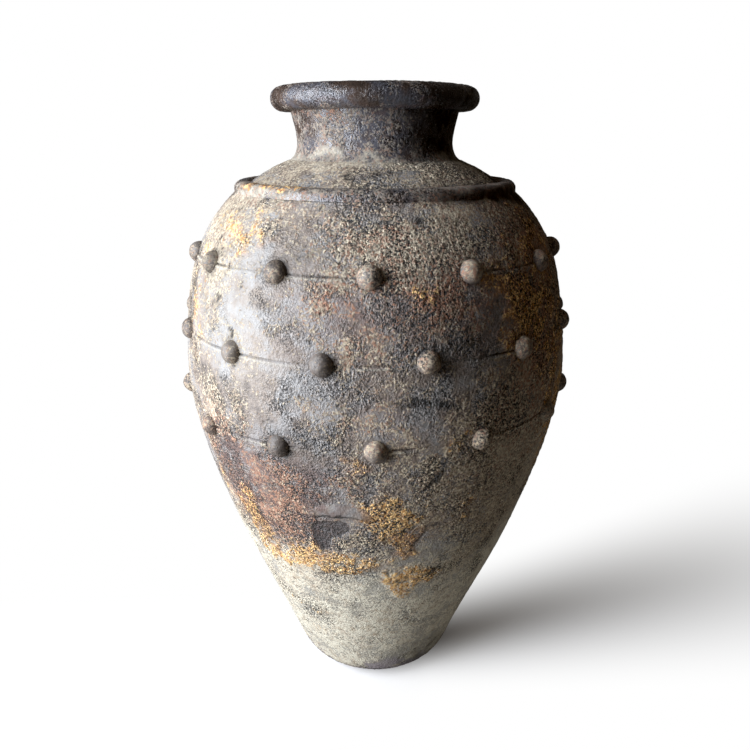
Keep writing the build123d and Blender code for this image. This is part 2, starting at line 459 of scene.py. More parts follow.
class Weathering:
    """Random and placed fields that roughen and stain the whole jar, the same for every piece."""

    BENDS = ("bend_x", "bend_y", "bend_z")
    NAMES = ("sway", "crumb", *BENDS, "layer", "flake", "grain", "ochre", "pale", "line", "crack")
    FIRST_SEED = 21

    def __init__(self, relief: Relief, pattern: Pattern, rows: tuple[StudRow, ...], balls: Array) -> None:
        """Keep what shapes the wear, and seed one random field for each name.

        Args:
            relief: Depths of the weathered surface.
            pattern: Sizes of the random fields.
            rows: Stud rows with their scribed lines.
            balls: Centres of the studs, one row each.
        """
        self.relief = relief
        self.pattern = pattern
        self.rows = rows
        self.balls = balls
        self.noise = {name: ClayNoise(seed) for seed, name in enumerate(self.NAMES, self.FIRST_SEED)}

    def bent(self, points: Array) -> Array:
        """Shift points by a random field, so that placed patches get ragged outlines.

        Args:
            points: Points in metres, one row each.

        Returns:
            Shifted points.
        """
        shift = [self.noise[name].at(points, self.pattern.bend_mm, 3) for name in self.BENDS]
        return points + self.pattern.bend_by_mm * MM * np.stack(shift, axis=1)

    def line(self, points: Array) -> Array:
        """Scribed lines of the stud rows, 1 on a line and 0 off it, faint where the tool skipped.

        Args:
            points: Points in metres, one row each.

        Returns:
            Strength of the lines at each point.
        """
        # The wander is read at one height, so that both edges of a line wander together. The skips
        # come from another part of the same field.
        level = points * np.array([1.0, 1.0, 0.0]) + np.array([0.0, 0.0, 0.4])
        wander = self.pattern.wander_by_mm * MM * self.noise["line"].at(level, self.pattern.wander_mm, 3)
        skip = smoothstep(-0.5, 0.35, self.noise["line"].at(points + 0.31, self.pattern.skip_mm, 2))
        width = self.relief.line_half_width_mm * MM
        off = [np.abs(points[:, 2] - row.level(points) - wander) / width for row in self.rows]
        return np.clip(1 - np.min(off, axis=0), 0, 1) * (0.25 + 0.75 * skip)

    def stud_seam(self, points: Array) -> Array:
        """Smeared slip and painted contact shade round each stud's foot: a bell curve of the distance to
        the nearest ball.

        Args:
            points: Points in metres, one row each.

        Returns:
            Strength of the smear at each point.
        """
        gap = np.full(len(points), 1.0)
        for ball in self.balls:
            gap = np.minimum(gap, np.linalg.norm(points - ball, axis=1))
        off = (gap / MM - self.relief.seam_radius_mm) / self.relief.seam_half_width_mm
        return np.exp(-(off**2))

    def fields(self, points: Array, coat: "Coat") -> dict[str, Array]:
        """Work out the relief and the stains at some points.

        Relief = slow sway + thick and thin crust + its grain + crumbly ochre - cracks - the scar + its
        lip - the scribed lines + the clay pushed up under them + the seams of the studs. Each stain is
        a sum of its placed patches and of random fields, weighted by how much the eye sees of each,
        and runs from 0 to 1, the crust a little over.

        Args:
            points: Points of the smooth surface in metres, one row each.
            coat: How thickly this piece is crusted.

        Returns:
            "relief" in metres, and the stains by attribute name.
        """
        depth, size = self.relief, self.pattern
        near = self.bent(points)
        close = points + 0.35 * (near - points)
        height = points[:, 2] / MM
        sway = self.noise["sway"].at(points, size.sway_mm, 2)
        layer = self.noise["layer"].at(near, size.layer_mm, 4, 0.55)
        flake = self.noise["flake"].at(points, size.flake_mm, 3, 0.6)
        grain = self.noise["grain"].at(points, size.grain_mm, 2, 0.6)
        crack = self.noise["crack"].at(near, size.crack_mm, 4, 0.5)
        ochre_grain = self.noise["ochre"].at(points, size.ochre_mm, 4, 0.68)
        clump = self.noise["crumb"].at(near, size.crumb_mm, 4, 0.6)
        ragged = height + 16 * layer + 5 * flake
        foot = smoothstep(size.foot_top_mm, size.foot_full_mm, ragged) * coat.ochre
        ragged = height + 60 * self.noise["pale"].at(points, size.pale_mm, 3)
        pale = smoothstep(size.pale_top_mm, size.pale_full_mm, ragged) * (1 - 0.75 * foot)
        # Chalk patches, partly painted sheen and painted fill light
        pale = np.clip(pale + covering(CHALK_AND_PAINTED_LIGHT, near), 0, 1)
        bare = np.clip(covering(BARE, near) * coat.ochre, 0, 1.2)
        spread = coat.ochre * covering(OCHRE, near)
        ochre = smoothstep(0.2, 1.15, spread * (0.9 + 1.0 * ochre_grain))
        cover = coat.cover + 0.42 * layer + 0.3 * flake - 0.34 * bare + 0.2 * pale - 0.5 * foot
        # Dust thickens the crust; on the shaded right it is painted fill light
        crust = np.clip(cover + covering(DUST_AND_PAINTED_LIGHT, near) + 0.3 * ochre, 0, 1.2)
        red = np.clip(coat.red + covering(RUST, near) * (0.4 + 0.6 * coat.ochre), 0, 1)
        rise = coat.crumb + 0.95 * clump + 0.25 * ochre + 0.25 * red
        crumb = np.clip(rise - 0.62 * pale - 0.2 * bare - covering(SMOOTH, near), 0.06, 1)
        scar = smoothstep(0.34, 0.44, covering(SCAR, close) + 0.24 * flake + 0.18 * grain) * coat.ochre
        lip = smoothstep(0.1, 0.7, SCAR_LIP.mask(close)) * coat.ochre * (1 - scar)
        split = smoothstep(0.05, 0.0, np.abs(crack)) * smoothstep(0.15, 0.5, flake + 0.3 * spread)
        split = split * coat.ochre
        strokes = covering(DIRT, 0.4 * close + 0.6 * near) * (1 + 0.9 * flake + 0.9 * grain)
        split = np.clip(split + smoothstep(0.3, 0.9, strokes), 0, 1)
        # The stud seam is a raised smear in the relief and a ring of painted contact shade in the line
        # stain
        seam = self.stud_seam(points) * coat.ochre
        line = self.line(points) * coat.ochre
        # A raised lip under each scribed line, which the pale stain also lightens as a painted highlight
        under = self.line(points + np.array([0.0, 0.0, 3.0 * MM])) * coat.ochre
        # Kiln smoke and painted shade, darkened towards the dirt colour through the line stain
        cloud_and_painted_shade = np.clip(covering(FIRE_CLOUD_AND_PAINTED_SHADE, near) * (0.9 + 0.5 * flake), 0, 1)
        relief_mm = (
            depth.sway_mm * sway
            + depth.flake_mm * (crust - 0.5)
            + depth.grain_mm * grain * (0.3 + 0.9 * crumb)
            + depth.ochre_mm * ochre * (0.6 + 0.8 * ochre_grain)
            - depth.crack_mm * split
            - depth.scar_mm * scar
            + depth.lip_mm * lip
            + depth.line_lip_mm * under
            - depth.line_depth_mm * line
            + depth.stud_seam_mm * seam
        )
        return {
            "relief": relief_mm * MM * coat.rough,
            "crust": crust * (1 - 0.5 * scar) * (1 - 0.6 * lip),
            "ochre": ochre * (1 - scar) * (1 - lip),
            "scar": scar,
            # Pale: lime, painted light of the chalk patches, and a painted highlight on the lips under the
            # scribed lines
            "pale": np.clip(pale + 0.8 * under, 0, 1),
            "red": red,
            # Dark: dirt in scribed lines and cracks, painted contact shade round the studs, and the fire
            # cloud patches
            "line": np.clip(0.65 * line + 0.9 * split + 0.28 * seam + 0.95 * cloud_and_painted_shade, 0, 1),
            "crumb": crumb * (1 - 0.2 * scar) * (1 - 0.7 * lip),
            "foot": foot,
        }


@dataclass(frozen=True)
class Coat:
    """How a piece is crusted: cover of grains, share of ochre, rust, depth of relief and crumbliness."""

    cover: float = 0.5
    ochre: float = 1.0
    red: float = 0.0
    rough: float = 1.0
    crumb: float = 0.6


def node_arrays(node: str) -> tuple[Array, Array]:
    """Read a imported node's mesh.

    Args:
        node: Name of the node.

    Returns:
        Its vertices in metres, and the vertex numbers of its triangles.
    """
    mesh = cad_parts[node].data
    points = np.empty(len(mesh.vertices) * 3, np.float32)
    mesh.vertices.foreach_get("co", points)
    corners = np.empty(len(mesh.loops), np.int32)
    mesh.loops.foreach_get("vertex_index", corners)
    return points.reshape(-1, 3).astype(float), corners.reshape(-1, 3)


def half_section(node: str) -> Array:
    """Outline of a turned node in its own half plane, read along the seam of its mesh.

    The seam's points lie at y = 0 with x > 0. They are chained along the mesh's own edges, loose
    ends are joined to the nearest other end, and the run is turned so that the clay is on its left.

    Args:
        node: Name of a node that is a solid of revolution.

    Returns:
        Points (radius, height) in metres, in order, without a repeat of the first.
    """
    weld = 0.01 * MM
    points, triangles = node_arrays(node)
    keys, welded = np.unique(np.round(points / weld).astype(np.int64), axis=0, return_inverse=True)
    welded = welded.reshape(-1)[triangles]
    edges = np.concatenate([welded[:, [0, 1]], welded[:, [1, 2]], welded[:, [2, 0]]])
    on_seam = (keys[:, 1] == 0) & (keys[:, 0] > 0)
    edges = np.unique(np.sort(edges[on_seam[edges].all(axis=1)], axis=1), axis=0)
    links: dict[int, set[int]] = {}
    for a, b in edges.tolist():
        links.setdefault(a, set()).add(b)
        links.setdefault(b, set()).add(a)
    places = {key: keys[key, [0, 2]] * weld for key in links}
    ends = [key for key, near in links.items() if len(near) == 1]
    here = min(ends or links, key=lambda key: tuple(places[key][::-1]))
    order = [here]
    left = set(links) - {here}
    while left:
        near = [key for key in links[here] if key in left]
        loose = [key for key in ends if key in left]
        here = min(near or loose, key=lambda key: float(np.hypot(*(places[key] - places[here]))))
        order.append(here)
        left.remove(here)
    outline = np.array([places[key] for key in order])
    following = np.roll(outline, -1, axis=0)
    area = (outline[:, 0] * following[:, 1] - following[:, 0] * outline[:, 1]).sum()
    return outline if area > 0 else outline[::-1]


def smooth_samples(
    run: Array, spacing: float, bands: tuple[tuple[float, float], ...], fine: float
) -> Array:
    """Sample a run of points along a smooth curve through them (cubic Hermite, chord-length steps).

    Args:
        run: Points (radius, height) of one stretch between corners.
        spacing: Wanted distance between samples.
        bands: Lowest and highest heights between which samples are closer.
        fine: Distance between samples there.

    Returns:
        Sampled points, both ends included.
    """
    chord = np.r_[0, np.cumsum(np.hypot(*np.diff(run, axis=0).T))]
    if len(run) > 2:
        slope = np.gradient(run, chord, axis=0)
    else:
        slope = np.tile((run[1] - run[0]) / chord[-1], (2, 1))
    at = np.linspace(0, chord[-1], max(2, int(math.ceil(chord[-1] / spacing)) + 1))
    for low, high in bands:
        if run[0, 1] < low and high < run[-1, 1]:
            first, last = np.interp([low, high], run[:, 1], chord)
            inside = np.arange(first, last, fine)
            at = np.r_[at[(at < first - 0.6 * fine) | (at > inside[-1] + 0.6 * fine)], inside]
    at = np.sort(at)
    cell = np.clip(np.searchsorted(chord, at, side="right") - 1, 0, len(chord) - 2)
    width = (chord[cell + 1] - chord[cell])[:, None]
    t = ((at - chord[cell])[:, None]) / width
    return (
        run[cell] * (2 * t**3 - 3 * t**2 + 1)
        + slope[cell] * width * (t**3 - 2 * t**2 + t)
        + run[cell + 1] * (3 * t**2 - 2 * t**3)
        + slope[cell + 1] * width * (t**3 - t**2)
    )


def put_mesh(
    name: str, points: Array, quads: Array, triangles: Array, sharp_rings: Array | None
) -> bpy.types.Object:
    """Make a smooth-shaded object from arrays.

    Args:
        name: Name of the piece.
        points: Vertices in metres.
        quads: Vertex numbers of the four-sided faces.
        triangles: Vertex numbers of the three-sided faces.
        sharp_rings: For each vertex the number of the sharp ring that it lies on, or -1.

    Returns:
        The new object, linked to the scene at the origin.
    """
    mesh = bpy.data.meshes.new(name)
    sizes = np.r_[np.full(len(quads), 4), np.full(len(triangles), 3)].astype(np.int32)
    corners = np.r_[quads.reshape(-1), triangles.reshape(-1)].astype(np.int32)
    mesh.vertices.add(len(points))
    mesh.vertices.foreach_set("co", points.astype(np.float32).reshape(-1))
    mesh.loops.add(len(corners))
    mesh.loops.foreach_set("vertex_index", corners)
    mesh.polygons.add(len(sizes))
    mesh.polygons.foreach_set("loop_start", np.r_[0, np.cumsum(sizes)[:-1]].astype(np.int32))
    mesh.update(calc_edges=True)
    mesh.shade_smooth()
    if sharp_rings is not None:
        ends = np.empty(len(mesh.edges) * 2, np.int32)
        mesh.edges.foreach_get("vertices", ends)
        ring = sharp_rings[ends.reshape(-1, 2)]
        mesh.edges.foreach_set("use_edge_sharp", (ring[:, 0] >= 0) & (ring[:, 0] == ring[:, 1]))
    piece = bpy.data.objects.new(name, mesh)
    bpy.context.scene.collection.objects.link(piece)
    return piece


def put_stains(piece: bpy.types.Object, stains: dict[str, Array]) -> None:
    """Store fields on the vertices of a piece, one float attribute each.

    Args:
        piece: Object with the mesh.
        stains: Values for each vertex by attribute name.
    """
    for name, values in stains.items():
        attribute = piece.data.attributes.new(name, "FLOAT", "POINT")
        attribute.data.foreach_set("value", np.asarray(values, np.float32))


def add(
    tree: bpy.types.NodeTree,
    kind: str,
    inputs: dict[Any, Any] | None = None,
    ramp: tuple[tuple[float, str], ...] = (),
    **settings: Any,
) -> bpy.types.Node:
    """Add a node, set its properties, and fill or link its inputs.

    Args:
        tree: Node tree of a material or world.
        kind: Blender's name of the node, without the leading ShaderNode.
        inputs: Values or output sockets by input name or number.
        ramp: Stops (position, colour) of a colour ramp.
        **settings: Properties of the node.

    Returns:
        The new node.
    """
    node = tree.nodes.new("ShaderNode" + kind)
    for name, value in settings.items():
        setattr(node, name, value)
    for key, value in (inputs or {}).items():
        if isinstance(value, bpy.types.NodeSocket):
            tree.links.new(value, node.inputs[key])
        else:
            node.inputs[key].default_value = value
    for index, (position, colour) in enumerate(ramp):
        stop = node.color_ramp.elements[index] if index < 2 else node.color_ramp.elements.new(position)
        stop.position = position
        stop.color = linear(colour)
    return node


@dataclass(frozen=True)
class WeatheredClay:
    """Fired clay under dark burnished slip, buried and dug up again.

    The slip is dense and a little glossy, grey to brown from uneven firing. Lime and soil have baked
    on as a ragged grain: crumbs on its tops, thick in some places and thin in others, and dark pits
    in its hollows. Each crumb has its own colour: tan or pale, rust where iron came through, gold
    where ochre clings, chalky grey near the foot. Its sand is lighter or darker from grain to grain.
    Dirt stays in scribed lines and cracks, and the same dark is painted as shade round the studs' feet
    and on shaded sides. Real sand is finer than a millimetre: the grain, the crumbs and the grit are
    drawn coarser, so that they show at the size of the picture.
    """

    name: str
    slip_dark: str = "#463d38"
    slip_cool: str = "#8c8a88"
    slip_brown: str = "#7e7166"
    slip_rust: str = "#5f4942"
    slip_chalk_and_painted_light: str = "#a5a194"
    slip_foot: str = "#8f868a"
    crumb_dark: str = "#706256"
    crumb_tan: str = "#9a8b76"
    crumb_pale: str = "#c2b59d"
    crumb_rust: str = "#946c56"
    crumb_chalk_and_painted_light: str = "#d0cab7"
    ochre_deep: str = "#a97640"
    ochre_pale: str = "#f0c888"
    scar: str = "#2a2122"
    dirt_and_shade: str = "#120e0c"
    slip_roughness: float = 0.6
    crumb_roughness: float = 0.9
    firing_mm: float = 75.0
    mottle_mm: float = 14.0
    clump_mm: float = 10.0
    grain_mm: float = 2.8
    grit_mm: float = 1.8
    grit: float = 0.55
    crumb_mm: float = 2.4
    bump_mm: float = 2.9
    ior: float = 1.55

    def build(self) -> bpy.types.Material:
        """Make the node material.

        Returns:
            The finished material.
        """
        material = bpy.data.materials.new(self.name)
        material.use_nodes = True
        tree = material.node_tree
        tree.nodes.clear()
        where = add(tree, "TexCoord").outputs["Object"]
        stain = {
            name: add(tree, "Attribute", attribute_name=name).outputs["Fac"]
            for name in ("crust", "ochre", "scar", "pale", "red", "line", "crumb", "foot")
        }
        fields = {}
        for name, size_mm, detail in (
            ("firing", self.firing_mm, 5.0),
            ("mottle", self.mottle_mm, 3.0),
            ("clump", self.clump_mm, 3.0),
            ("grain", self.grain_mm, 2.0),
            ("grit", self.grit_mm, 0.0),
        ):
            pattern = {"Vector": where, "Scale": 1 / (size_mm * MM), "Detail": detail, "Roughness": 0.7}
            fields[name] = add(tree, "TexNoise", pattern)
        noise = {name: field.outputs["Fac"] for name, field in fields.items()}
        ragged = {0: fields["grain"].outputs["Color"], 1: (1.2 * self.crumb_mm * MM,) * 3, 2: where}
        ragged = add(tree, "VectorMath", ragged, operation="MULTIPLY_ADD").outputs["Vector"]
        cells = add(tree, "TexVoronoi", {"Vector": ragged, "Scale": 1 / (self.crumb_mm * MM)}).outputs
        chance = add(tree, "SeparateColor", {"Color": cells["Color"]}).outputs

        def eased(value: Any, low: float, high: float) -> bpy.types.NodeSocket:
            """Map a value from 0 at low to 1 at high, smoothly."""
            ease = {"Value": value, "From Min": low, "From Max": high}
            return add(tree, "MapRange", ease, interpolation_type="SMOOTHSTEP").outputs["Result"]

        def sums(first: Any, factor: Any, second: Any) -> bpy.types.NodeSocket:
            """First value times a factor, plus a second one."""
            terms = {0: first, 1: factor, 2: second}
            return add(tree, "Math", terms, operation="MULTIPLY_ADD").outputs["Value"]

        def mixed(share: Any, under: Any, over: Any) -> bpy.types.NodeSocket:
            """Lay one colour over another."""
            return add(tree, "Mix", {0: share, 6: under, 7: over}, data_type="RGBA").outputs[2]

        def ramped(value: Any, *stops: tuple[float, str]) -> bpy.types.NodeSocket:
            """Look a value up in a run of colours."""
            return add(tree, "ValToRGB", {"Fac": value}, stops).outputs["Color"]

        # Slip: firing clouds from dark to cool grey, then rust, lime with painted light, the dusty foot and
        # soaked-in ochre
        slip = ramped(
            noise["firing"],
            (0.34, self.slip_dark),
            (0.44, self.slip_brown),
            (0.55, self.slip_cool),
            (0.66, self.slip_brown),
        )
        rusty = sums(stain["red"], eased(noise["mottle"], 0.3, 0.6), 0.0)
        slip = mixed(rusty, slip, linear(self.slip_rust))
        slip = mixed(sums(stain["pale"], 0.75, 0.0), slip, linear(self.slip_chalk_and_painted_light))
        slip = mixed(stain["foot"], slip, linear(self.slip_foot))
        slip = mixed(sums(stain["ochre"], 0.7, 0.0), slip, linear(self.ochre_deep))
        # Crumbs: each cell of the Voronoi net draws its own tan, and may turn chalky with painted light,
        # rusty or gold
        tans = ((0.05, self.crumb_dark), (0.4, self.crumb_tan), (0.95, self.crumb_pale))
        crumb = ramped(chance["Green"], *tans)
        chalky = sums(stain["pale"], eased(noise["mottle"], 0.25, 0.55), 0.0)
        crumb = mixed(chalky, crumb, linear(self.crumb_chalk_and_painted_light))
        rusty = eased(sums(stain["red"], 0.7, sums(chance["Blue"], -0.8, 0.0)), -0.3, 0.45)
        crumb = mixed(rusty, crumb, linear(self.crumb_rust))
        golden = eased(sums(stain["ochre"], 0.9, chance["Blue"]), 0.9, 1.4)
        golds = ((0.1, self.ochre_deep), (0.8, self.ochre_pale))
        crumb = mixed(golden, crumb, ramped(chance["Green"], *golds))
        # Crumbs cover the slip where the crust is thick and the grain stands high, and dirt fills its pits
        thick = sums(noise["clump"], 1.2, sums(chance["Red"], -0.3, stain["crust"]))
        covered = eased(sums(noise["grain"], 2.2, thick), 1.98, 2.24)
        colour = mixed(covered, slip, crumb)
        pits = sums(eased(noise["grain"], 0.49, 0.41), sums(stain["crumb"], 0.95, 0.1), 0.0)
        # Pits and lines darken towards the dirt colour; the line stain also holds painted shade round the
        # studs and on shaded sides
        dirt_and_shade_share = add(tree, "Math", {0: stain["line"], 1: pits}, operation="MAXIMUM").outputs["Value"]
        colour = mixed(sums(stain["scar"], 0.72, 0.0), colour, linear(self.scar))
        colour = mixed(sums(dirt_and_shade_share, 0.95, 0.0), colour, linear(self.dirt_and_shade))
        # Sand: up to a share lighter or darker from grain to grain
        sandy = sums(eased(noise["grit"], 0.3, 0.7), 2.0, -1.0)
        speck = sums(sandy, sums(stain["crumb"], self.grit, 0.0), 1.0)
        colour = add(tree, "VectorMath", {0: colour, "Scale": speck}, operation="SCALE").outputs["Vector"]
        rough = {"Value": covered, "To Min": self.slip_roughness, "To Max": self.crumb_roughness}
        rough = add(tree, "MapRange", rough).outputs["Result"]
        height = sums(covered, 0.35, sums(noise["grain"], 1.6, sums(noise["grit"], 0.4, 0.0)))
        strength = sums(stain["crumb"], 0.75, 0.25)
        push = {"Height": height, "Distance": self.bump_mm * MM, "Strength": strength}
        bump = add(tree, "Bump", push).outputs["Normal"]
        surface = {"Base Color": colour, "Roughness": rough, "Normal": bump, "IOR": self.ior}
        clay = add(tree, "BsdfPrincipled", surface).outputs["BSDF"]
        add(tree, "OutputMaterial", {"Surface": clay})
        return material


@dataclass(frozen=True)
class Stretch:
    """Smooth stretch of a half section: sampled points, normals out of the clay, share of the relief."""

    points: Array
    normals: Array
    share: float


@dataclass(frozen=True)
class TurnedPiece:
    """A piece made on the turntable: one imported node, dressed with a fine weathered grid."""

    node: str
    slot: Slot
    coat: Coat
    columns: int = 720
    shown_mm: float = 2.35
    inside_mm: float = 14.0
    line_mm: float = 0.8
    corner_degrees: float = 24.0
    has_floor: bool = False

    def outline(self) -> Array:
        """Half section of the node, with the two points on the axis if the piece has a floor.

        Returns:
            Points (radius, height) in metres, in order.
        """
        section = half_section(self.node)
        if not self.has_floor:
            return section
        low = np.argmin(section[:, 1] * 1000 + section[:, 0])
        section = np.roll(section, -low, axis=0)
        return np.vstack([[0.0, section[0, 1]], section, [0.0, section[-1, 1]]])

    def runs(self) -> list[Array]:
        """Stretches of the half section between its corners, in order round the outline.

        Returns:
            Points (radius, height) of each stretch, corner to corner.
        """
        outline = self.outline()
        before = outline - np.roll(outline, 1, axis=0)
        after = np.roll(outline, -1, axis=0) - outline
        turn = np.arctan2(after[:, 1], after[:, 0]) - np.arctan2(before[:, 1], before[:, 0])
        turn = np.abs(np.arctan2(np.sin(turn), np.cos(turn)))
        corners = np.flatnonzero(turn > math.radians(self.corner_degrees))
        outline = np.roll(outline, -corners[0], axis=0)
        stops = np.r_[corners - corners[0], len(outline)]
        closed = np.vstack([outline, outline[:1]])
        runs = [closed[a : b + 1] for a, b in zip(stops[:-1], stops[1:])]
        return [run for run in runs if run[:, 0].max() > 0]

    def side(self, run: Array, seats: dict[str, Array]) -> Side:
        """Tell what a stretch faces.

        Args:
            run: Points of the stretch.
            seats: Corner points of every turned piece by node.

        Returns:
            JOINT where one neighbour shares both its ends, else INSIDE or SHOWN by its normal.
        """
        for node, seat in seats.items():
            gap = np.hypot(*(seat[:, None, :] - run[[0, -1]][None]).transpose(2, 0, 1)).min(axis=0)
            if node != self.node and gap.max() < 0.05 * MM and np.ptp(run[[0, -1]], axis=0).max() > MM:
                return Side.JOINT
        falls = run[0, 1] - run[-1, 1] > 12 * MM
        return Side.INSIDE if falls else Side.SHOWN

    def stretch(self, run: Array, seats: dict[str, Array], rows: tuple[StudRow, ...]) -> Stretch:
        """Sample one stretch as finely as what it faces calls for.

        Args:
            run: Points of the stretch.
            seats: Corner points of every turned piece by node.
            rows: Stud rows with their scribed lines.

        Returns:
            The sampled stretch.
        """
        facing = self.side(run, seats)
        step, share = {
            Side.SHOWN: (self.shown_mm, 1.0),
            Side.INSIDE: (self.inside_mm, 0.4),
            Side.JOINT: (60.0, 0.0),
        }[facing]
        step *= 1
        bands = tuple(row.band() for row in rows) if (facing is Side.SHOWN) else ()
        points = smooth_samples(run, step * MM, bands, self.line_mm * MM)
        along = np.gradient(points, axis=0)
        along /= np.linalg.norm(along, axis=1, keepdims=True)
        return Stretch(points, np.stack([along[:, 1], -along[:, 0]], axis=1), share)

    def build(
        self, weathering: Weathering, seats: dict[str, Array], finish: bpy.types.Material
    ) -> bpy.types.Object:
        """Lay the grid P(u, v) = (r(v) cos u, r(v) sin u, z(v)) and push it along its normals.

        Args:
            weathering: Fields that roughen and stain the jar.
            seats: Corner points of every turned piece by node.
            finish: Material of the piece.

        Returns:
            The dressed piece, standing for its node.
        """
        parts = [self.stretch(run, seats, weathering.rows) for run in self.runs()]
        rows, normals, shares, rings = [], [], [], []
        for index, part in enumerate(parts):
            last = parts[index - 1]
            corner = part.share * part.normals[0] + last.share * last.normals[-1] + 1e-9 * part.normals[0]
            rows.append(part.points[:-1])
            normals.append(np.vstack([corner / np.linalg.norm(corner), part.normals[1:-1]]))
            shares.append(np.r_[max(part.share, last.share), np.full(len(part.points) - 2, part.share)])
            rings.append(np.r_[index, np.full(len(part.points) - 2, -1)])
        section, normal = np.concatenate(rows), np.concatenate(normals)
        share, ring = np.concatenate(shares), np.concatenate(rings)
        poles = np.zeros((0, 2))
        if self.has_floor:
            poles = np.array([section[0], parts[-1].points[-1]])
            section, normal, share, ring = section[1:], normal[1:], share[1:], ring[1:]
        columns = self.columns
        turn = np.arange(columns) * 2 * np.pi / columns
        sweep = np.stack([np.cos(turn), np.sin(turn)], axis=1)

        def swept(pairs: Array) -> Array:
            """Turn pairs (radial, upright) about the axis, one row of columns for each pair."""
            upright = np.broadcast_to(pairs[:, None, 1:], (len(pairs), columns, 1))
            return np.concatenate([pairs[:, None, :1] * sweep[None], upright], axis=2).reshape(-1, 3)

        points, outward = swept(section), swept(normal)
        stains = weathering.fields(points, self.coat)
        points = points + outward * (stains.pop("relief") * np.repeat(share, columns))[:, None]
        points[:, 2] = np.maximum(points[:, 2], 0.0)
        here = np.arange(len(section) * columns).reshape(len(section), columns)
        ahead = np.roll(here, -1, axis=1)
        if self.has_floor:
            quads = np.stack([here[:-1], ahead[:-1], ahead[1:], here[1:]], axis=-1).reshape(-1, 4)
            low, high = len(points), len(points) + 1
            fan_low = np.stack([np.full(columns, low), ahead[0], here[0]], axis=-1)
            fan_high = np.stack([np.full(columns, high), here[-1], ahead[-1]], axis=-1)
            triangles = np.concatenate([fan_low, fan_high])
            points = np.vstack([points, np.insert(poles, 1, 0.0, axis=1)])
            stains = {name: np.r_[values, values[0], values[-1]] for name, values in stains.items()}
        else:
            up, up_ahead = np.roll(here, -1, axis=0), np.roll(ahead, -1, axis=0)
            quads = np.stack([here, ahead, up_ahead, up], axis=-1).reshape(-1, 4)
            triangles = np.zeros((0, 3), int)
        sharp = np.r_[np.repeat(ring, columns), np.full(len(poles), -1)]
        piece = put_mesh("clay_" + self.node, points, quads, triangles, sharp)
        put_stains(piece, stains)
        dress(piece, finish, self.node)
        return piece


def dress(piece: bpy.types.Object, finish: bpy.types.Material, node: str) -> None:
    """Give a piece its finish, tie it to the jar's one body, and let it stand for its node.

    Args:
        piece: New piece.
        finish: Its material.
        node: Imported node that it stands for.
    """
    piece.data.materials.append(finish)
    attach(piece, "root")
    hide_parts(node)
    faces = np.empty(len(piece.data.polygons), np.int32)
    piece.data.polygons.foreach_get("loop_total", faces)
    LOG.info("%s: %d triangles", piece.name, int((faces - 2).sum()))


@dataclass(frozen=True)
class Stud:
    """A ball of clay pressed on the wall by hand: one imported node, dressed with an uneven dome."""

    node: str
    coat: Coat
    dust_and_highlight_top: float
    around: int = 64
    down: int = 26
    wrap_degrees: float = 104.0
    swell: float = 1.03
    uneven: float = 0.055
    lump_mm: float = 13.0
    relief_share: float = 0.6

    def ball(self) -> tuple[Array, float, Array]:
        """Find the stud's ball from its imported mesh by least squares.

        Returns:
            Centre in metres, radius in metres, and the unit direction out of the wall.
        """
        points, _ = node_arrays(self.node)
        kept = points
        # Points of the cut back, which are off the ball, drop out of the fit round by round.
        for _ in range(4):
            rows = np.hstack([2 * kept, np.ones((len(kept), 1))])
            answer = np.linalg.lstsq(rows, (kept**2).sum(axis=1), rcond=None)[0]
            centre = answer[:3]
            radius = math.sqrt(answer[3] + centre @ centre)
            miss = np.abs(np.linalg.norm(points - centre, axis=1) - radius)
            kept = points[miss < max(0.02 * MM, np.quantile(miss, 0.6))]
        out = np.array([centre[0], centre[1], 0.0])
        out /= np.linalg.norm(out)
        far = (kept - centre) @ out
        lean = (kept[far > 0.2 * radius] - centre).mean(axis=0)
        return centre, radius, lean / np.linalg.norm(lean)

    def build(self, weathering: Weathering, finish: bpy.types.Material) -> bpy.types.Object:
        """Lay the dome P(u, v) = C + R (sin v cos u, sin v sin u, cos v), R uneven, v from tip to base.

        Args:
            weathering: Fields that roughen and stain the jar.
            finish: Material of the piece.

        Returns:
            The dressed stud, standing for its node.
        """
        centre, radius, out = self.ball()
        side = np.cross(out, [0.0, 0.0, 1.0])
        side /= np.linalg.norm(side)
        rise = np.cross(side, out)
        u = np.arange(self.around) * 2 * np.pi / self.around
        v = np.radians(np.linspace(0, self.wrap_degrees, self.down + 1)[1:])
        grid_v, grid_u = [part.reshape(-1) for part in np.meshgrid(v, u, indexing="ij")]
        ray = (
            np.outer(np.sin(grid_v) * np.cos(grid_u), side)
            + np.outer(np.sin(grid_v) * np.sin(grid_u), rise)
            + np.outer(np.cos(grid_v), out)
        )
        ray = np.vstack([ray, out])
        smooth = centre + radius * ray
        lump = weathering.noise["sway"].at(smooth, self.lump_mm, 2) * self.uneven
        stains = weathering.fields(smooth, self.coat)
        reach = radius * (self.swell + lump) + self.relief_share * stains.pop("relief")
        points = centre + ray * reach[:, None]
        # Pale crown, outward and up: dust on top, and a painted highlight where the light falls
        lit = smoothstep(0.1, 0.8, ray @ (0.75 * out + 0.45 * rise))
        stains["crust"] = np.clip(stains["crust"] * 0.8 + self.dust_and_highlight_top * lit, 0, 1)
        base = points[-1 - self.around : -1].mean(axis=0)
        points = np.vstack([points, base])
        stains = {name: np.r_[values, values[-2]] for name, values in stains.items()}
        here = np.arange(self.around * self.down).reshape(self.down, self.around)
        ahead = np.roll(here, -1, axis=1)
        quads = np.stack([here[:-1], here[1:], ahead[1:], ahead[:-1]], axis=-1).reshape(-1, 4)
        tip, foot = len(points) - 2, len(points) - 1
        tip_fan = np.stack([np.full(self.around, tip), here[0], ahead[0]], axis=-1)
        base_fan = np.stack([np.full(self.around, foot), ahead[-1], here[-1]], axis=-1)
        piece = put_mesh("clay_" + self.node, points, quads, np.concatenate([tip_fan, base_fan]), None)
        put_stains(piece, stains)
        dress(piece, finish, self.node)
        return piece


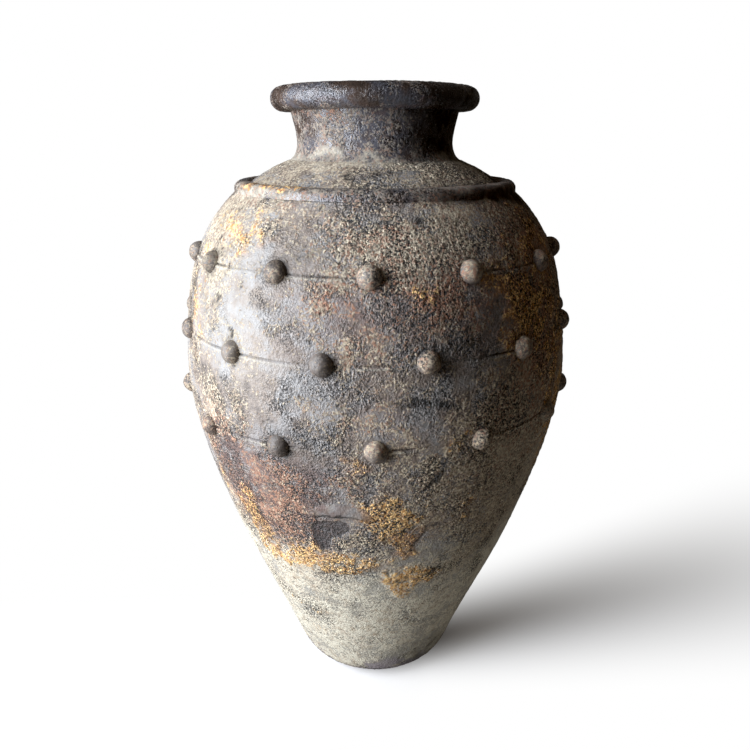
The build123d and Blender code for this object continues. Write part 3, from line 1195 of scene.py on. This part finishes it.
@dataclass(frozen=True)
class Studio:
    """Pale floor, one wide window on the left, white surroundings, and the camera of the picture.

    The floor's shadow lies in a band that starts under the jar, runs away from the window and widens.
    """

    camera_back: float = 0.8215
    camera_height: float = 0.7464
    camera_tilt: float = 69.264
    lens_mm: float = 30.29
    floor_half: float = 6.0
    window_turn: float = -63.0
    window_away: float = 1.3
    window_height: float = 0.92
    window_wide: float = 0.9
    window_tall: float = 1.55
    window_watts: float = 75.0
    window_colour: str = "#eff5ff"
    fill_strength: float = 0.082
    fill_colour: str = "#ffeedd"
    paper_seen: str = "#f1efec"
    paper_bounce: str = "#a09b93"
    shadow_start: tuple[float, float, float] = (-0.05, 0.05, 0.0)
    shadow_turn: float = -15.6
    shadow_half_width: float = 0.067
    shadow_spread: float = 0.145
    shadow_reach: float = 1.15
    shadow_soft: float = 1.7
    black: float = 0.003

    def build(self) -> None:
        """Make the floor, the light, the surroundings and the camera.

        The darkest tones are drawn down to black, as the picture's are.
        """
        scene = bpy.context.scene
        scene.view_settings.view_transform = "Standard"
        scene.view_settings.use_curve_mapping = True
        scene.view_settings.curve_mapping.black_level = (self.black,) * 3
        corners = np.array([[-1, -1, 0], [1, -1, 0], [1, 1, 0], [-1, 1, 0]]) * self.floor_half
        floor = put_mesh("studio_floor", corners, np.array([[0, 1, 2, 3]]), np.zeros((0, 3), int), None)
        floor.data.materials.append(self.paper())
        world = bpy.data.worlds.new("studio_white")
        scene.world = world
        world.use_nodes = True
        tree = world.node_tree
        tree.nodes.clear()
        seen = add(tree, "LightPath").outputs["Is Camera Ray"]
        white = add(tree, "Background", {"Color": linear("#ffffff"), "Strength": 1.0}).outputs["Background"]
        fill = {"Color": linear(self.fill_colour), "Strength": self.fill_strength}
        fill = add(tree, "Background", fill).outputs["Background"]
        around = add(tree, "MixShader", {0: seen, 1: fill, 2: white}).outputs["Shader"]
        add(tree, "OutputWorld", {"Surface": around})
        turn = math.radians(self.window_turn)
        window = bpy.data.lights.new("window", "AREA")
        window.shape = "RECTANGLE"
        window.size, window.size_y = self.window_wide, self.window_tall
        window.energy = self.window_watts
        window.color = linear(self.window_colour)[:3]
        lamp = bpy.data.objects.new("window", window)
        sideways, forwards = self.window_away * math.sin(turn), self.window_away * math.cos(turn)
        lamp.location = (sideways, -forwards, self.window_height)
        lamp.rotation_euler = (math.radians(90), 0.0, turn)
        scene.collection.objects.link(lamp)
        eye = bpy.data.objects.new("camera", bpy.data.cameras.new("camera"))
        eye.data.lens = self.lens_mm
        eye.location = (0.0, -self.camera_back, self.camera_height)
        eye.rotation_euler = (math.radians(self.camera_tilt), 0.0, 0.0)
        scene.collection.objects.link(eye)
        scene.camera = eye

    def paper(self) -> bpy.types.Material:
        """Matt white paper. The camera sees plain white but for the shadow band, and light bounces dimmer.

        Returns:
            The floor's material.
        """
        material = bpy.data.materials.new("white_studio_paper")
        material.use_nodes = True
        tree = material.node_tree
        tree.nodes.clear()
        where = add(tree, "TexCoord").outputs["Object"]
        turn = (0.0, 0.0, math.radians(self.shadow_turn))
        band = {"Vector": where, "Location": self.shadow_start, "Rotation": turn}
        shade = add(tree, "SeparateXYZ", {0: add(tree, "Mapping", band).outputs["Vector"]}).outputs
        along = add(tree, "Math", {0: shade["X"]}, operation="ABSOLUTE").outputs["Value"]
        width = {0: along, 1: self.shadow_spread, 2: self.shadow_half_width}
        width = add(tree, "Math", width, operation="MULTIPLY_ADD").outputs["Value"]
        across = add(tree, "Math", {0: shade["Y"], 1: width}, operation="DIVIDE").outputs["Value"]
        across = add(tree, "Math", {0: across}, operation="ABSOLUTE").outputs["Value"]
        core = add(tree, "MapRange", {"Value": along, "From Max": self.shadow_reach}).outputs["Result"]
        fade = {"Value": across, "From Max": self.shadow_soft, "To Min": core}
        fade = add(tree, "MapRange", fade, interpolation_type="SMOOTHSTEP").outputs["Result"]
        seen = add(tree, "LightPath").outputs["Is Camera Ray"]
        share = add(tree, "Math", {0: fade, 1: seen}, operation="MULTIPLY").outputs["Value"]
        colours = {0: seen, 6: linear(self.paper_bounce), 7: linear(self.paper_seen)}
        shown = add(tree, "Mix", colours, data_type="RGBA").outputs[2]
        matt = add(tree, "BsdfDiffuse", {"Color": shown}).outputs["BSDF"]
        glow = add(tree, "Emission", {"Color": linear("#ffffff"), "Strength": 1.0}).outputs["Emission"]
        paper = add(tree, "MixShader", {0: share, 1: matt, 2: glow}).outputs["Shader"]
        add(tree, "OutputMaterial", {"Surface": paper})
        return material


WALL_COAT = Coat()
CAP_COAT = Coat(ochre=0.0)
RIDGE_COAT = Coat(cover=0.45, red=0.1, rough=0.8)
NECK_COAT = Coat(cover=0.46, ochre=0.0, red=0.12, rough=0.7, crumb=0.4)
RIM_COAT = Coat(cover=0.22, ochre=0.0, red=0.1, rough=0.7, crumb=0.55)
STUD_COAT = Coat(cover=0.4, ochre=0.0, red=0.15, rough=0.8, crumb=0.3)
STAGES = ("foot", "foot_wall", "lower_wall", "middle_wall", "belly_wall", "shoulder_wall")
WALLS = dict.fromkeys(STAGES, WALL_COAT) | {"shoulder_cap": CAP_COAT}
# The collars are small and finely curved, so their grids have smaller steps.
COLLARS = {"shoulder_ridge": RIDGE_COAT, "neck": NECK_COAT, "rim": RIM_COAT}
COLLAR_GRID = {"columns": 560, "shown_mm": 1.5, "inside_mm": 4.0}
ROWS = ("upper", "middle", "lower")
# The centre of a stud's ball lies this far inside the wall's face, on which the scribed line runs.
STUD_SUNK_MM = 3.5
# Studs with a pale crown, and how much: dust on top, and a painted highlight where the light falls
DUST_AND_HIGHLIGHT_STUDS = {"upper_stud_02": 0.5, "middle_stud_01": 0.6, "lower_stud_01": 0.5, "lower_stud_02": 0.8}


# Walls: burnished slip under lime and soil
WALL_FINISH = WeatheredClay("weathered_clay_wall")
# Ridge, neck and rim: darker slip, rubbed glossier, with little crust
DARK_FINISH = WeatheredClay(
    "dark_slip_clay",
    slip_dark="#1a1614",
    slip_cool="#4e5057",
    slip_brown="#43372f",
    crumb_dark="#474039",
    crumb_tan="#6d665f",
    crumb_pale="#8f8577",
    slip_roughness=0.27,
    grain_mm=2.3,
    grit=0.3,
    bump_mm=0.9,
)
# Studs: rolled smooth by hand, thinly crusted
STUD_FINISH = WeatheredClay(
    "stud_clay",
    slip_cool="#6a645e",
    slip_brown="#5c5046",
    crumb_dark="#5f5449",
    crumb_tan="#85796a",
    crumb_pale="#a5977f",
    grain_mm=2.4,
    grit=0.3,
    bump_mm=0.5,
)
FINISHES = {Slot.WALL: WALL_FINISH, Slot.DARK: DARK_FINISH, Slot.STUD: STUD_FINISH}


def main() -> None:
    """Build the jar piece by piece, then the stage."""
    logging.basicConfig(level=logging.INFO, format="%(name)s: %(message)s")
    turned = [TurnedPiece(node, Slot.WALL, coat, has_floor=node == "foot") for node, coat in WALLS.items()]
    turned += [TurnedPiece(node, Slot.DARK, coat, **COLLAR_GRID) for node, coat in COLLARS.items()]
    seats = {piece.node: np.array([run[0] for run in piece.runs()]) for piece in turned}
    names = sorted(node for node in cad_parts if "_stud_" in node)
    studs = [Stud(node, STUD_COAT, DUST_AND_HIGHLIGHT_STUDS.get(node, 0.0)) for node in names]
    balls = {stud.node: stud.ball() for stud in studs}
    rows = []
    for row in ROWS:
        seen = [ball for node, ball in balls.items() if node.startswith(row)]
        seats_at = np.array([centre + STUD_SUNK_MM * MM * out for centre, _, out in seen])
        rows.append(StudRow(np.arctan2(seats_at[:, 0], -seats_at[:, 1]), seats_at[:, 2]))
    centres = np.array([ball[0] for ball in balls.values()])
    weathering = Weathering(Relief(), Pattern(), tuple(rows), centres)
    finishes = {slot: finish.build() for slot, finish in FINISHES.items()}
    for piece in turned:
        piece.build(weathering, seats, finishes[piece.slot])
    for stud in studs:
        stud.build(weathering, finishes[Slot.STUD])
    Studio().build()


if __name__ == "__main__":
    main()
